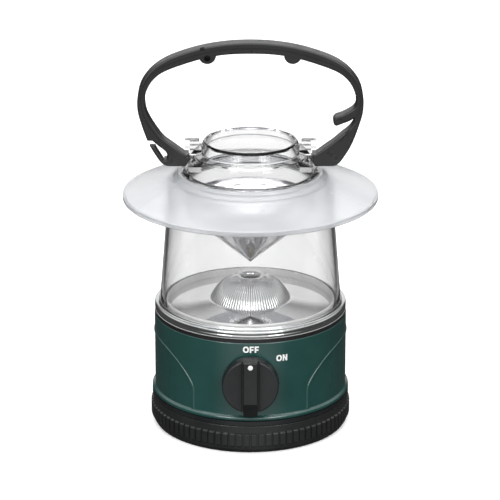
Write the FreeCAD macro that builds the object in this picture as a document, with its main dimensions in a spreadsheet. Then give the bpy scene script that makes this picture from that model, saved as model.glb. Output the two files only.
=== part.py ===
import FreeCAD, Part
import Sketcher
import math
import os

# Camping lantern, millimetres, +Z up, origin at the centre of the base's
# underside, knob towards -Y, handle pivots along X.

V = FreeCAD.Vector
doc = FreeCAD.newDocument("camping_lantern")

# ---------------------------------------------------------------- dimensions
SIZES = [
    ("rib_radius", 60.0, "base cap, radius over the grip ribs"),
    ("rib_depth", 1.1, "depth of the slots between the ribs"),
    ("rib_slot", 1.25, "width of the slots between the ribs"),
    ("rib_bottom", 4.9, "ribs start"),
    ("rib_top", 12.2, "ribs end"),
    ("rib_count", 88.0, "number of ribs"),
    ("cap_foot_radius", 57.4, "flat foot of the base cap"),
    ("cap_band_radius", 58.9, "smooth band above the ribs"),
    ("cap_top", 17.1, "upper edge of the base cap"),
    ("cap_bore", 56.4, "inside radius of the base cap"),
    ("cap_floor", 2.8, "upper face of the cap's floor"),
    ("foot_recess", 0.8, "recess under the foot"),
    ("lug_bore", 54.95, "inside radius of the cap's lugs"),
    ("lug_height", 2.2, "height of a lug"),
    ("lug_rise", 12.0, "mid height of a lug when the cap is closed"),
    ("lug_arc", 18.0, "angle that a lug spans"),
    ("thread_lead", 24.0, "lead of the three-start cap thread"),
    ("cap_turn", 100.0, "turn that frees the cap"),
    ("groove_gap", 0.35, "room around a lug in its groove"),
    ("neck_radius", 55.95, "threaded neck of the housing"),
    ("neck_bottom", 5.4, "lower edge of the neck"),
    ("frame_bore", 52.5, "inside radius of the housing"),
    ("frame_radius", 54.7, "outside radius of the housing in the shell"),
    ("skirt_radius", 59.2, "housing band seen above the cap"),
    ("skirt_bottom", 17.4, "lower edge of that band"),
    ("skirt_top", 20.2, "upper edge of that band"),
    ("deck_bottom", 69.25, "underside of the housing's deck"),
    ("deck_top", 71.1, "upper face of the housing's deck"),
    ("cell_offset", 17.5, "cell centres from the axis, in X and Y"),
    ("cell_radius", 16.5, "D cell"),
    ("cell_length", 60.5, "D cell over its stud"),
    ("stud_radius", 4.75, "D cell stud"),
    ("stud_height", 1.5, "D cell stud"),
    ("well_radius", 17.0, "cell well"),
    ("well_wall", 1.0, "wall of a cell well"),
    ("well_bottom", 9.4, "lower edge of the wells"),
    ("disc_radius", 51.3, "contact disc"),
    ("disc_bottom", 3.3, "contact disc"),
    ("disc_top", 4.9, "contact disc"),
    ("plate_gauge", 0.4, "contact plates"),
    ("spring_room", 3.0, "height of a pressed contact spring"),
    ("spring_wire", 0.4, "radius of the spring wire"),
    ("shell_radius", 57.4, "green shell"),
    ("shell_bore", 55.0, "green shell"),
    ("shell_top", 68.7, "green shell"),
    ("bead_radius", 59.1, "bead at the foot of the shell"),
    ("arch_proud", 0.4, "arch line stands proud of the shell"),
    ("arch_width", 1.0, "arch line"),
    ("gasket_top", 71.3, "gasket between shell and globe"),
    ("flange_radius", 57.2, "globe flange"),
    ("flange_top", 75.6, "globe flange"),
    ("globe_foot", 53.6, "globe wall at its foot"),
    ("globe_head", 48.4, "globe wall at its head"),
    ("globe_wall", 2.2, "globe wall"),
    ("globe_shoulder", 150.6, "top of the globe's shoulder"),
    ("neck_outer", 38.4, "globe neck"),
    ("neck_inner", 36.2, "globe neck"),
    ("neck_top", 156.0, "globe neck"),
    ("funnel_point", 99.2, "lowest point of the globe's funnel"),
    ("funnel_gauge", 2.6, "funnel wall measured upwards"),
    ("funnel_slope", 1.19, "funnel radius per height"),
    ("shade_radius", 75.5, "shade rim"),
    ("shade_rim_bottom", 139.9, "shade rim"),
    ("shade_rim_top", 142.7, "shade rim"),
    ("shade_root", 150.2, "top of the shade plate at its root"),
    ("shade_gauge", 2.0, "shade plate"),
    ("hub_top", 156.0, "shade hub collar"),
    ("crown_radius", 41.0, "top cap"),
    ("crown_bottom", 153.4, "top cap"),
    ("crown_rim", 174.8, "top cap"),
    ("pivot_height", 163.57, "handle pivot"),
    ("pivot_radius", 3.0, "handle pin"),
    ("pivot_fit", 0.06, "running clearance of a handle pin"),
    ("ear_face", 35.6, "outer face of the top cap's ears"),
    ("ear_half", 7.2, "half width of the ears"),
    ("lug_end", 38.7, "outer end of the stop lugs"),
    ("handle_depth", 10.0, "handle, front to back"),
    ("handle_end", 36.3, "inner face of the handle's ends"),
    ("handle_half", 66.1, "half width of the handle"),
    ("handle_rise", 70.93, "top of the handle above its pivot"),
    ("handle_edge", 0.9, "rounding of the handle's edges"),
    ("knob_height", 44.5, "knob axis above the base"),
    ("knob_radius", 16.8, "knob"),
    ("knob_back", 58.4, "back of the knob from the lantern's axis"),
    ("knob_disc", 7.0, "thickness of the knob's disc"),
    ("knob_bar", 5.2, "grip bar stands above the disc"),
    ("knob_bar_width", 8.4, "grip bar"),
    ("shaft_radius", 2.0, "switch shaft"),
    ("shaft_fit", 0.05, "running clearance of the shaft"),
    ("bushing_radius", 3.5, "switch bushing"),
    ("switch_radius", 8.5, "switch body"),
    ("switch_front", 52.6, "front of the switch body from the axis"),
    ("lens_radius", 24.2, "dome lens"),
    ("lens_bottom", 76.1, "dome lens"),
    ("lens_top", 90.2, "dome lens"),
    ("lens_hole", 5.3, "hole in the dome lens"),
    ("plate_radius", 50.4, "base reflector"),
    ("plate_rise", 76.0, "base reflector at its inner edge"),
    ("plate_edge", 74.3, "base reflector at its outer edge"),
    ("board_radius", 14.0, "LED board"),
    ("board_bottom", 71.6, "LED board"),
    ("board_gauge", 1.6, "LED board"),
    ("lead_radius", 0.65, "insulated lead"),
    ("lead_height", 71.9, "leads run at this height over the deck"),
]

sheet = doc.addObject("Spreadsheet::Sheet", "Dims")
for row, (alias, number, note) in enumerate(SIZES, 1):
    sheet.set("A%d" % row, alias)
    sheet.set("B%d" % row, repr(number))
    sheet.setAlias("B%d" % row, alias)
    sheet.set("C%d" % row, note)
doc.recompute()


class Dim:
    """A size together with the expression that gives it."""

    def __init__(self, value, text):
        self.value = value
        self.text = text

    def __add__(self, other):
        return Dim(self.value + num(other), "(%s + %s)" % (self.text, say(other)))

    def __radd__(self, other):
        return Dim(num(other) + self.value, "(%s + %s)" % (say(other), self.text))

    def __sub__(self, other):
        return Dim(self.value - num(other), "(%s - %s)" % (self.text, say(other)))

    def __rsub__(self, other):
        return Dim(num(other) - self.value, "(%s - %s)" % (say(other), self.text))

    def __mul__(self, other):
        return Dim(self.value * num(other), "(%s * %s)" % (self.text, say(other)))

    def __rmul__(self, other):
        return Dim(num(other) * self.value, "(%s * %s)" % (say(other), self.text))

    def __truediv__(self, other):
        return Dim(self.value / num(other), "(%s / %s)" % (self.text, say(other)))

    def __neg__(self):
        return Dim(-self.value, "(0 - %s)" % self.text)


def num(x):
    return x.value if isinstance(x, Dim) else float(x)


def say(x):
    if isinstance(x, Dim):
        return x.text
    return "%.6g" % x if x >= 0 else "(0 - %.6g)" % -x


class Sheet:
    def __getattr__(self, alias):
        return Dim(float(sheet.get(alias)), "Dims." + alias)


S = Sheet()


def bind(obj, prop, x):
    """Give a property its size, bound to the sheet where it comes from there."""
    if isinstance(x, Dim):
        obj.setExpression(prop, x.text)
    elif "." in prop:
        obj.setExpression(prop, say(x))
    else:
        setattr(obj, prop, float(x))


# ---------------------------------------------------------------- builders
def plane_of(body, role):
    for feature in body.Origin.OriginFeatures:
        if feature.Role == role:
            return feature


def outline(body, name, role, pts):
    """Closed polygon sketch whose corners are held to the sheet."""
    sk = body.newObject("Sketcher::SketchObject", name)
    sk.AttachmentSupport = [(plane_of(body, role), "")]
    sk.MapMode = "FlatFace"
    n = len(pts)
    flat = [V(num(a), num(b), 0) for a, b in pts]
    for i in range(n):
        sk.addGeometry(Part.LineSegment(flat[i], flat[(i + 1) % n]), False)
    for i in range(n):
        sk.addConstraint(Sketcher.Constraint("Coincident", i, 2, (i + 1) % n, 1))
    for i, (a, b) in enumerate(pts):
        for kind, x, line in (("DistanceX", a, -2), ("DistanceY", b, -1)):
            if num(x) == 0.0:
                sk.addConstraint(Sketcher.Constraint("PointOnObject", i, 1, line))
            else:
                k = sk.addConstraint(Sketcher.Constraint(kind, -1, 1, i, 1, num(x)))
                if isinstance(x, Dim):
                    sk.setExpression("Constraints[%d]" % k, x.text)
    return sk


def ring_edges(shape, rings):
    """Names of the circular edges at the given radii and heights."""
    names = []
    for rad, height in rings:
        for i, e in enumerate(shape.Edges, 1):
            c = e.Curve
            if (isinstance(c, Part.Circle) and abs(c.Radius - num(rad)) < 0.02
                    and abs(c.Center.z - num(height)) < 0.02
                    and math.hypot(c.Center.x, c.Center.y) < 0.02):
                names.append("Edge%d" % i)
    return names


def turned(name, pts, rounds=()):
    """Body of revolution about Z, with rounded rings."""
    body = doc.addObject("PartDesign::Body", name)
    sk = outline(body, name + "_profile", "XZ_Plane", pts)
    rev = body.newObject("PartDesign::Revolution", name + "_turn")
    rev.Profile = sk
    rev.ReferenceAxis = (sk, ["V_Axis"])
    rev.Angle = 360.0
    doc.recompute()
    last = rev
    for k, (radius, rings) in enumerate(rounds):
        f = body.newObject("PartDesign::Fillet", "%s_round%d" % (name, k))
        f.Base = (last, ring_edges(last.Shape, rings))
        bind(f, "Radius", radius)
        doc.recompute()
        last = f
    return body


def place(obj, x=0, y=0, z=0, rot=None):
    if rot is not None:
        obj.Placement = FreeCAD.Placement(V(0, 0, 0), rot)
    for prop, value in (("Placement.Base.x", x), ("Placement.Base.y", y), ("Placement.Base.z", z)):
        if isinstance(value, Dim) or value != 0:
            bind(obj, prop, value)
    return obj


def box(name, x0, x1, y0, y1, z0, z1):
    b = doc.addObject("Part::Box", name)
    for prop, lo, hi in (("Length", x0, x1), ("Width", y0, y1), ("Height", z0, z1)):
        bind(b, prop, hi - lo)
    return place(b, x0, y0, z0)


TO_FRONT = FreeCAD.Rotation(V(1, 0, 0), 90)      # local Z runs to -Y, local Y to +Z
TO_RIGHT = FreeCAD.Rotation(V(0, 1, 0), 90)      # local Z runs to +X


def rod(name, radius, length, x=0, y=0, z=0, rot=None):
    c = doc.addObject("Part::Cylinder", name)
    bind(c, "Radius", radius)
    bind(c, "Height", length)
    return place(c, x, y, z, rot)


def fuse(name, shapes):
    f = doc.addObject("Part::MultiFuse", name)
    f.Shapes = shapes
    f.Refine = True
    return f


def cut(name, base, tools):
    tool = tools[0]
    if len(tools) > 1:
        tool = doc.addObject("Part::MultiFuse", name + "_tools")
        tool.Shapes = tools
    c = doc.addObject("Part::Cut", name)
    c.Base = base
    c.Tool = tool
    c.Refine = True
    return c


def common(name, a, b):
    c = doc.addObject("Part::Common", name)
    c.Base = a
    c.Tool = b
    return c


def group(name, members):
    g = doc.addObject("Part::Compound", name)
    g.Links = members
    return g


def free(name, shape):
    f = doc.addObject("Part::Feature", name)
    f.Shape = shape
    return f


def curve_sketch(name, runs, rot):
    """Sketch made of straight runs (two points) and smooth runs (more points)."""
    sk = doc.addObject("Sketcher::SketchObject", name)
    for run in runs:
        pts = [V(a, b, 0) for a, b in run]
        if len(pts) == 2:
            sk.addGeometry(Part.LineSegment(pts[0], pts[1]), False)
        else:
            bs = Part.BSplineCurve()
            bs.interpolate(pts)
            sk.addGeometry(bs, False)
    sk.Placement = FreeCAD.Placement(V(0, 0, 0), rot)
    return sk


def extruded(name, sk, direction, length):
    """Solid that reaches half of length to each side of its sketch."""
    e = doc.addObject("Part::Extrusion", name)
    e.Base = sk
    e.DirMode = "Custom"
    e.Dir = direction
    e.Solid = True
    e.Symmetric = True
    bind(e, "LengthFwd", length)
    return e


NODES = []


def node(obj, label):
    obj.Label = label
    NODES.append((label, obj))
    return obj


def thread(radius_in, radius_out, height, z_from, angle_from, angle, lead):
    """Helical bar of rectangular section about Z; rises as it turns."""
    rise = lead * angle / 360.0
    mid = (radius_in + radius_out) / 2.0
    helix = Part.makeHelix(lead, rise, mid)
    sec = Part.makePolygon([V(radius_in, 0, -height / 2), V(radius_out, 0, -height / 2),
                            V(radius_out, 0, height / 2), V(radius_in, 0, height / 2),
                            V(radius_in, 0, -height / 2)])
    bar = Part.Wire(helix.Edges).makePipeShell([sec], True, True)
    bar.rotate(V(0, 0, 0), V(0, 0, 1), angle_from)
    bar.translate(V(0, 0, z_from))
    return bar


# ---------------------------------------------------------------- base cap
# The profile runs round the foot, up the outside and down the bore. The floor
# is recessed below so that the cap stands on its rim, and a pad at the centre
# takes the carrier screw.
cap = turned("cap_body", [
    (0, 0.15), (7.0, 0.15), (7.4, S.foot_recess), (50.0, S.foot_recess), (50.5, 0),
    (S.cap_foot_radius, 0), (S.cap_foot_radius + 1.4, 2.4), (S.cap_foot_radius + 1.6, S.rib_bottom - 0.6),
    (S.rib_radius, S.rib_bottom), (S.rib_radius, S.rib_top), (S.cap_band_radius, S.rib_top + 0.6),
    (S.cap_band_radius, S.cap_top), (S.cap_bore, S.cap_top), (S.cap_bore, S.cap_floor), (1.5, S.cap_floor),
    (1.5, 0.85), (0, 0.85),
], rounds=[
    (0.9, [(S.cap_foot_radius, 0)]),
    (0.35, [(S.rib_radius, S.rib_bottom), (S.rib_radius, S.rib_top)]),
    (0.4, [(S.cap_band_radius, S.cap_top)]),
])
rib_sk = outline(cap, "rib_slot", "XY_Plane", [
    (S.rib_radius - S.rib_depth, -S.rib_slot / 2), (S.rib_radius + 1, -S.rib_slot / 2 - 0.25),
    (S.rib_radius + 1, S.rib_slot / 2 + 0.25), (S.rib_radius - S.rib_depth, S.rib_slot / 2)])
rib_sk.AttachmentOffset = FreeCAD.Placement(V(0, 0, 0), FreeCAD.Rotation())
rib_sk.setExpression("AttachmentOffset.Base.z", "Dims.rib_bottom - 0.7")
slot = cap.newObject("PartDesign::Pocket", "rib_slot_cut")
slot.Profile = rib_sk
slot.Type = 0
slot.setExpression("Length", "Dims.rib_top - Dims.rib_bottom + 1.4")
slot.Reversed = True
doc.recompute()
ribs = cap.newObject("PartDesign::PolarPattern", "ribs")
ribs.Originals = [slot]
ribs.Axis = (cap.Group[0], ["V_Axis"])
ribs.Angle = 360.0
ribs.setExpression("Occurrences", "Dims.rib_count")
cap.Tip = ribs
doc.recompute()

lead, lug_arc = num(S.thread_lead), num(S.lug_arc)
lug_start = num(S.lug_rise) - lead * lug_arc / 720.0
lugs = []
for k in range(3):
    lugs.append(free("cap_lug%d" % k, thread(num(S.lug_bore), num(S.cap_bore) + 0.4, num(S.lug_height),
                                             lug_start, 120.0 * k + 30.0, lug_arc, lead)))
node(fuse("cap_whole", [cap] + lugs), "base_cap")

seal = doc.addObject("Part::Torus", "seal_ring")
bind(seal, "Radius1", S.cap_bore - 2.2)
bind(seal, "Radius2", 1.2)
place(seal, 0, 0, S.cap_floor + 1.22)
node(seal, "base_seal")

# The screw's shoulder lets the cap turn under the contact disc.
node(turned("carrier_screw_body", [
    (0, 0.9), (1.48, 0.9), (1.48, S.cap_floor + 0.02), (2.4, S.cap_floor + 0.02), (2.4, S.disc_top + 0.15),
    (4.2, S.disc_top + 0.15), (4.2, S.disc_top + 1.2), (3.4, S.disc_top + 2.0), (0.9, S.disc_top + 2.0),
    (0.9, S.disc_top + 1.2), (0, S.disc_top + 1.2)]), "carrier_screw")

# ---------------------------------------------------------------- contact disc
# Two posts on the disc slide between ribs of the housing and keep it from
# turning while the cap turns.
disc = turned("disc_body", [(2.48, S.disc_bottom), (S.disc_radius, S.disc_bottom),
                            (S.disc_radius, S.disc_top), (2.48, S.disc_top)])
posts = [box("post_r", 48.6, 50.6, -3, 3, S.disc_top - 0.2, 16.5),
         box("post_l", -50.6, -48.6, -3, 3, S.disc_top - 0.2, 16.5)]
node(fuse("disc_whole", [disc] + posts), "contact_disc")

low_z = S.disc_top
plates = []
for tag, y in (("front", -S.cell_offset), ("rear", S.cell_offset)):
    bar = box("low_bar_" + tag, -S.cell_offset, S.cell_offset, y - 7, y + 7, low_z, low_z + S.plate_gauge)
    ends = [rod("low_end_%s%d" % (tag, i), 10.0, S.plate_gauge, sx * S.cell_offset, y, low_z)
            for i, sx in enumerate((-1, 1))]
    plates.append(fuse("low_plate_" + tag, [bar] + ends))
node(group("low_plates", plates), "lower_contacts")


# Cells in series: the left front and right rear cells stand stud up, the other
# two stud down, each pressed by a spring at its flat end.
def coil(name, x, y, z, upside):
    body = doc.addObject("PartDesign::Body", name)
    sk = body.newObject("Sketcher::SketchObject", name + "_wire")
    sk.AttachmentSupport = [(plane_of(body, "XZ_Plane"), "")]
    sk.MapMode = "FlatFace"
    sk.addGeometry(Part.Circle(V(8.0, 0.45, 0), V(0, 0, 1), num(S.spring_wire)), False)
    k = sk.addConstraint(Sketcher.Constraint("Radius", 0, num(S.spring_wire)))
    sk.setExpression("Constraints[%d]" % k, "Dims.spring_wire")
    hx = body.newObject("PartDesign::AdditiveHelix", name + "_coil")
    hx.Profile = sk
    hx.ReferenceAxis = (sk, ["V_Axis"])
    hx.Mode = 0
    hx.setExpression("Pitch", "(Dims.spring_room - 0.95) / 2.5")
    hx.setExpression("Height", "Dims.spring_room - 0.95")
    hx.Angle = -45.0
    if upside:
        return place(body, x, y, z, FreeCAD.Rotation(V(0, 1, 0), 180))
    return place(body, x, y, z)


node(group("low_coils", [
    coil("low_coil_a", -S.cell_offset, -S.cell_offset, low_z + S.plate_gauge, False),
    coil("low_coil_b", S.cell_offset, S.cell_offset, low_z + S.plate_gauge, False)]), "lower_springs")


def cell(name, x, y, z, upside):
    top = S.cell_length
    body = turned(name, [
        (0, 0), (13.0, 0), (13.2, 0.4), (S.cell_radius - 0.6, 0.4), (S.cell_radius, 1.0),
        (S.cell_radius, top - S.stud_height - 1.2), (S.cell_radius - 1.0, top - S.stud_height - 0.2),
        (S.stud_radius + 1.0, top - S.stud_height), (S.stud_radius, top - S.stud_height + 0.3),
        (S.stud_radius, top - 0.3), (S.stud_radius - 0.3, top), (0, top)])
    if upside:
        return place(body, x, y, z, FreeCAD.Rotation(V(1, 0, 0), 180))
    return place(body, x, y, z)


seat = low_z + S.plate_gauge
up_z = seat + S.spring_room
node(group("cells", [
    cell("cell_1", -S.cell_offset, -S.cell_offset, up_z, False),
    cell("cell_2", S.cell_offset, -S.cell_offset, seat + S.cell_length, True),
    cell("cell_3", S.cell_offset, S.cell_offset, up_z, False),
    cell("cell_4", -S.cell_offset, S.cell_offset, seat + S.cell_length, True)]), "battery_cells")

# ---------------------------------------------------------------- housing
frame_turn = turned("frame_turn", [
    (S.frame_bore, S.neck_bottom), (S.neck_radius, S.neck_bottom), (S.neck_radius, S.skirt_bottom),
    (S.skirt_radius - 0.3, S.skirt_bottom), (S.skirt_radius, S.skirt_bottom + 0.3), (S.skirt_radius, S.skirt_top),
    (S.frame_radius, S.skirt_top), (S.frame_radius, S.deck_top), (0, S.deck_top), (0, S.deck_bottom),
    (S.frame_bore, S.deck_bottom)])
wells, bores = [], []
for i, (sx, sy) in enumerate(((-1, -1), (1, -1), (1, 1), (-1, 1))):
    wells.append(rod("well%d" % i, S.well_radius + S.well_wall, S.deck_bottom - S.well_bottom + 0.2,
                     sx * S.cell_offset, sy * S.cell_offset, S.well_bottom))
    bores.append(rod("well_bore%d" % i, S.well_radius, S.deck_bottom - S.well_bottom + 1,
                     sx * S.cell_offset, sy * S.cell_offset, S.well_bottom - 1))
wells_open = cut("wells", fuse("wells_full", wells), bores)
guides = []
for i, (sx, sy) in enumerate(((1, 1), (1, -1), (-1, 1), (-1, -1))):
    x0, x1 = (48.2, 53.0) if sx > 0 else (-53.0, -48.2)
    y0, y1 = (3.35, 5.35) if sy > 0 else (-5.35, -3.35)
    guides.append(box("guide%d" % i, x0, x1, y0, y1, S.neck_bottom + 0.6, 21.0))
webs = [box("web_f", -0.75, 0.75, -53.0, -33.0, S.deck_bottom - 5, S.deck_bottom + 0.2),
        box("web_r", -0.75, 0.75, 33.0, 53.0, 24.0, S.deck_bottom + 0.2),
        box("web_x", 33.0, 53.0, -0.75, 0.75, 24.0, S.deck_bottom + 0.2),
        box("web_w", -53.0, -33.0, -0.75, 0.75, 24.0, S.deck_bottom + 0.2)]
board_seats = [rod("board_seat%d" % i, 2.6, S.board_bottom - S.deck_top + 0.2, x, y, S.deck_top - 0.2)
               for i, (x, y) in enumerate(((0, 10.5), (9.1, -5.25), (-9.1, -5.25)))]
frame_full = fuse("frame_full", [frame_turn, wells_open] + guides + webs + board_seats)

frame_cuts = [box("switch_window", -13.0, 13.0, -60.0, -48.0, S.knob_height - 13.5, S.knob_height + 13.5)]
turn = num(S.cap_turn)
gap = num(S.groove_gap)
way = turn + lug_arc + 2.0
for k in range(3):
    # A groove leads the lug from its closed place down out of the neck.
    start_angle = 120.0 * k + 30.0 + lug_arc + 1.0 - way - 20.0
    start_z = lug_start + lead * (start_angle - (120.0 * k + 30.0)) / 360.0
    frame_cuts.append(free("neck_groove%d" % k, thread(
        num(S.lug_bore) - 0.35, num(S.neck_radius) + 1.0, num(S.lug_height) + 2 * gap,
        start_z, start_angle, way + 20.0, lead)))
diag = 48.7 / math.sqrt(2.0)
corners = [(sx * diag, sy * diag) for sx, sy in ((1, 1), (-1, 1), (-1, -1), (1, -1))]
for i, (x, y) in enumerate(corners):
    frame_cuts.append(rod("globe_hole%d" % i, 1.55, 6.0, x, y, S.deck_bottom - 2))
for i, (x, y) in enumerate(((0, 10.5), (9.1, -5.25), (-9.1, -5.25))):
    frame_cuts.append(rod("board_pilot%d" % i, 0.8, 6.0, x, y, S.deck_bottom - 1))
SWITCH_LEAD_X = 4.0
SWITCH_LEAD_Y = -40.9
frame_cuts += [rod("lead_hole_p", 2.6, 6.0, -SWITCH_LEAD_X - 0.6, SWITCH_LEAD_Y + 0.6, S.deck_bottom - 2),
               rod("lead_hole_s", 2.6, 6.0, SWITCH_LEAD_X, SWITCH_LEAD_Y + 0.8, S.deck_bottom - 2),
               box("jumper_notch", S.cell_offset - 7.4, S.cell_offset + 7.4, -S.cell_offset, S.cell_offset,
                   S.deck_bottom - 0.8, S.deck_bottom),
               box("tab_slot_p", -18.9, -16.1, -18.1, -16.9, S.deck_bottom - 1, S.deck_top + 1),
               box("tab_slot_n", -18.9, -16.1, 16.9, 18.1, S.deck_bottom - 1, S.deck_top + 1)]
node(cut("frame_done", frame_full, frame_cuts), "battery_housing")

# ---------------------------------------------------------------- green shell
shell_turn = turned("shell_turn", [
    (S.shell_bore, S.skirt_top), (S.bead_radius - 0.9, S.skirt_top), (S.bead_radius, S.skirt_top + 0.8),
    (S.bead_radius, S.skirt_top + 2.3), (S.shell_radius, S.skirt_top + 3.3), (S.shell_radius, S.shell_top),
    (S.shell_bore, S.shell_top)],
    rounds=[(0.7, [(S.bead_radius, S.skirt_top + 0.8), (S.bead_radius, S.skirt_top + 2.3)]),
            (0.5, [(S.shell_radius, S.shell_top)])])
# Centre line of the arch seen from the side: height against distance from the
# lantern's middle plane.
arch = [(46.5, 21.6), (46.5, 35.5), (45.7, 39.5), (42.5, 45.6), (36.9, 51.2), (30.0, 54.7),
        (21.0, 56.6), (10.0, 57.3), (0.0, 57.5)]


def arch_side(offset):
    """Arch line moved sideways by offset, over both flanks."""
    right = []
    for i, (a, b) in enumerate(arch):
        if i <= 1:
            n = (1.0, 0.0)
        elif i == len(arch) - 1:
            n = (0.0, 1.0)
        else:
            da, db = arch[i + 1][0] - arch[i - 1][0], arch[i + 1][1] - arch[i - 1][1]
            q = math.hypot(da, db)
            n = (db / q, -da / q)
        right.append((a + offset * n[0], b + offset * n[1]))
    return right + [(-a, b) for a, b in reversed(right[:-1])]


half = num(S.arch_width) / 2
out, inn = arch_side(half), arch_side(-half)
arch_sk = curve_sketch("arch_band", [
    (out[0], out[1]), out[1:-1], (out[-2], out[-1]), (out[-1], inn[-1]),
    (inn[-1], inn[-2]), list(reversed(inn[1:-1])), (inn[1], inn[0]), (inn[0], out[0])],
    # sketch X runs along world Y and sketch Y along world Z
    FreeCAD.Rotation(V(0, 1, 0), V(0, 0, 1), V(1, 0, 0), "ZXY"))
arch_bar = extruded("arch_bar", arch_sk, V(1, 0, 0), 140.0)
arch_skin = cut("arch_skin", rod("arch_skin_out", S.shell_radius + S.arch_proud, 50.0, 0, 0, 15.0),
                [rod("arch_skin_in", S.shell_radius - 0.6, 60.0, 0, 0, 12.0)])
arch_line = common("arch_line", arch_bar, arch_skin)
seat_out = rod("switch_seat_out", 11.0, 2.9, 0, -55.0, S.knob_height, TO_FRONT)
seat_in = rod("switch_seat_in", 10.5, 55.6 - S.switch_front, 0, -S.switch_front, S.knob_height, TO_FRONT)
shell_full = fuse("shell_full", [shell_turn, arch_line, seat_out, seat_in])
node(cut("shell_done", shell_full, [
    rod("switch_hole", S.bushing_radius + 0.1, 20.0, 0, -45.0, S.knob_height, TO_FRONT)]), "body_shell")

# ---------------------------------------------------------------- upper contacts
top_z = up_z + S.cell_length
pl = S.plate_gauge


def pad(tag, x, y):
    return rod("up_pad_" + tag, 10.0, pl, x, y, top_z)


def tab(tag, x, y):
    return box("up_tab_" + tag, x - 1.2, x + 1.2, y - 0.3, y + 0.3, top_z, S.deck_top + 0.3)


jump = fuse("up_jump", [pad("c2", S.cell_offset, -S.cell_offset), pad("c3", S.cell_offset, S.cell_offset),
                        box("up_bar", S.cell_offset - 7, S.cell_offset + 7, -S.cell_offset, S.cell_offset,
                            top_z, top_z + pl)])
plus = fuse("up_plus", [pad("c1", -S.cell_offset, -S.cell_offset), tab("c1", -S.cell_offset, -S.cell_offset)])
minus = fuse("up_minus", [pad("c4", -S.cell_offset, S.cell_offset), tab("c4", -S.cell_offset, S.cell_offset)])
node(group("up_plates", [jump, plus, minus]), "upper_contacts")
node(group("up_coils", [
    coil("up_coil_a", S.cell_offset, -S.cell_offset, top_z, True),
    coil("up_coil_b", -S.cell_offset, S.cell_offset, top_z, True)]), "upper_springs")


def screw(name, x, y, head_z, up, shank, length, head, head_h):
    """Pan head screw; its shank runs up or down from under the head."""
    rot = None if up else FreeCAD.Rotation(V(1, 0, 0), 180)
    shaft = rod(name + "_shank", shank, length + head_h / 2, 0, 0, -head_h / 2)
    top = rod(name + "_head", head, head_h, 0, 0, -head_h)
    slot_a = box(name + "_slot_a", -head * 0.7, head * 0.7, -0.25, 0.25, -head_h, -head_h * 0.5)
    slot_b = box(name + "_slot_b", -0.25, 0.25, -head * 0.7, head * 0.7, -head_h, -head_h * 0.5)
    done = cut(name, fuse(name + "_full", [shaft, top]), [slot_a, slot_b])
    return place(done, x, y, head_z, rot)


node(group("globe_screw_set", [
    screw("globe_screw%d" % i, x, y, S.deck_bottom, True, 1.45, 3.7, 2.5, 1.8)
    for i, (x, y) in enumerate(corners)]), "globe_screws")

# ---------------------------------------------------------------- lamp
board_top = S.board_bottom + S.board_gauge
board = turned("board_turn", [(0, S.board_bottom), (S.board_radius, S.board_bottom),
                              (S.board_radius, board_top), (0, board_top)])
node(cut("board_done", board, [rod("board_hole%d" % i, 1.1, 6.0, x, y, S.board_bottom - 2)
                               for i, (x, y) in enumerate(((0, 10.5), (9.1, -5.25), (-9.1, -5.25)))]), "led_board")
node(group("board_screw_set", [
    screw("board_screw%d" % i, x, y, board_top, False, 0.8, 3.4, 1.9, 1.1)
    for i, (x, y) in enumerate(((0, 10.5), (9.1, -5.25), (-9.1, -5.25)))]), "board_screws")
dome = doc.addObject("Part::Sphere", "led_dome")
bind(dome, "Radius", 2.3)
place(dome, 0, 0, board_top + 1.4)
led_base = box("led_base", -3.0, 3.0, -3.0, 3.0, board_top, board_top + 1.4)
dome_top = common("led_dome_top", dome, box("led_dome_box", -3, 3, -3, 3, board_top + 1.0, board_top + 6))
node(fuse("led_done", [led_base, dome_top]), "led_emitter")

node(turned("plate_turn", [
    (S.lens_radius - 3.2, S.plate_rise - 0.9), (S.plate_radius, S.plate_edge - 0.9), (S.plate_radius, S.plate_edge),
    (S.lens_radius - 3.2, S.plate_rise)]), "base_reflector")

lz, lr = S.lens_bottom, S.lens_radius
node(turned("lens_turn", [
    (lr - 3.0, lz), (lr - 0.6, lz), (lr, lz + 0.8), (lr - 0.5, lz + 1.8), (lr - 1.8, lz + 3.8), (lr - 3.3, lz + 6.0),
    (lr - 5.0, lz + 8.0), (lr - 7.2, lz + 10.2), (lr - 9.9, lz + 12.2), (lr - 12.6, lz + 13.5),
    (S.lens_hole + 4.6, S.lens_top), (S.lens_hole + 1.2, S.lens_top), (S.lens_hole, S.lens_top - 0.8),
    (S.lens_hole, S.lens_top - 4.2), (lr - 13.2, lz + 9.6), (lr - 10.0, lz + 7.4), (lr - 6.6, lz + 4.0)]), "dome_lens")

# ---------------------------------------------------------------- switch
ky = S.knob_height
sf = S.switch_front
case = rod("switch_case", S.switch_radius, 7.6, 0, -(sf - 7.6), ky, TO_FRONT)
bush = rod("switch_bush", S.bushing_radius, 8.3, 0, -sf, ky, TO_FRONT)
node(cut("switch_done", fuse("switch_full", [case, bush]), [
    rod("switch_room", S.switch_radius - 1.1, 6.0, 0, -(sf - 7.6), ky, TO_FRONT),
    rod("switch_bore", S.shaft_radius + S.shaft_fit, 30.0, 0, -40.0, ky, TO_FRONT)]), "switch_body")
cover = rod("switch_cover_disc", S.switch_radius, 2.4, 0, -(sf - 10.0), ky, TO_FRONT)
node(cut("switch_cover_done", cover, [
    box("cover_slot_l", -5.0, -3.0, -50.0, -40.0, ky - 0.3, ky + 0.3),
    box("cover_slot_r", 3.0, 5.0, -50.0, -40.0, ky - 0.3, ky + 0.3)]), "switch_cover")
node(group("terminals", [
    box("terminal_l", -5.0, -3.0, -46.3, -39.6, ky - 0.3, ky + 0.3),
    box("terminal_r", 3.0, 5.0, -46.3, -39.6, ky - 0.3, ky + 0.3)]), "switch_terminals")
node(rod("shaft", S.shaft_radius, 22.4, 0, -45.6, ky, TO_FRONT), "switch_shaft")
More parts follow.
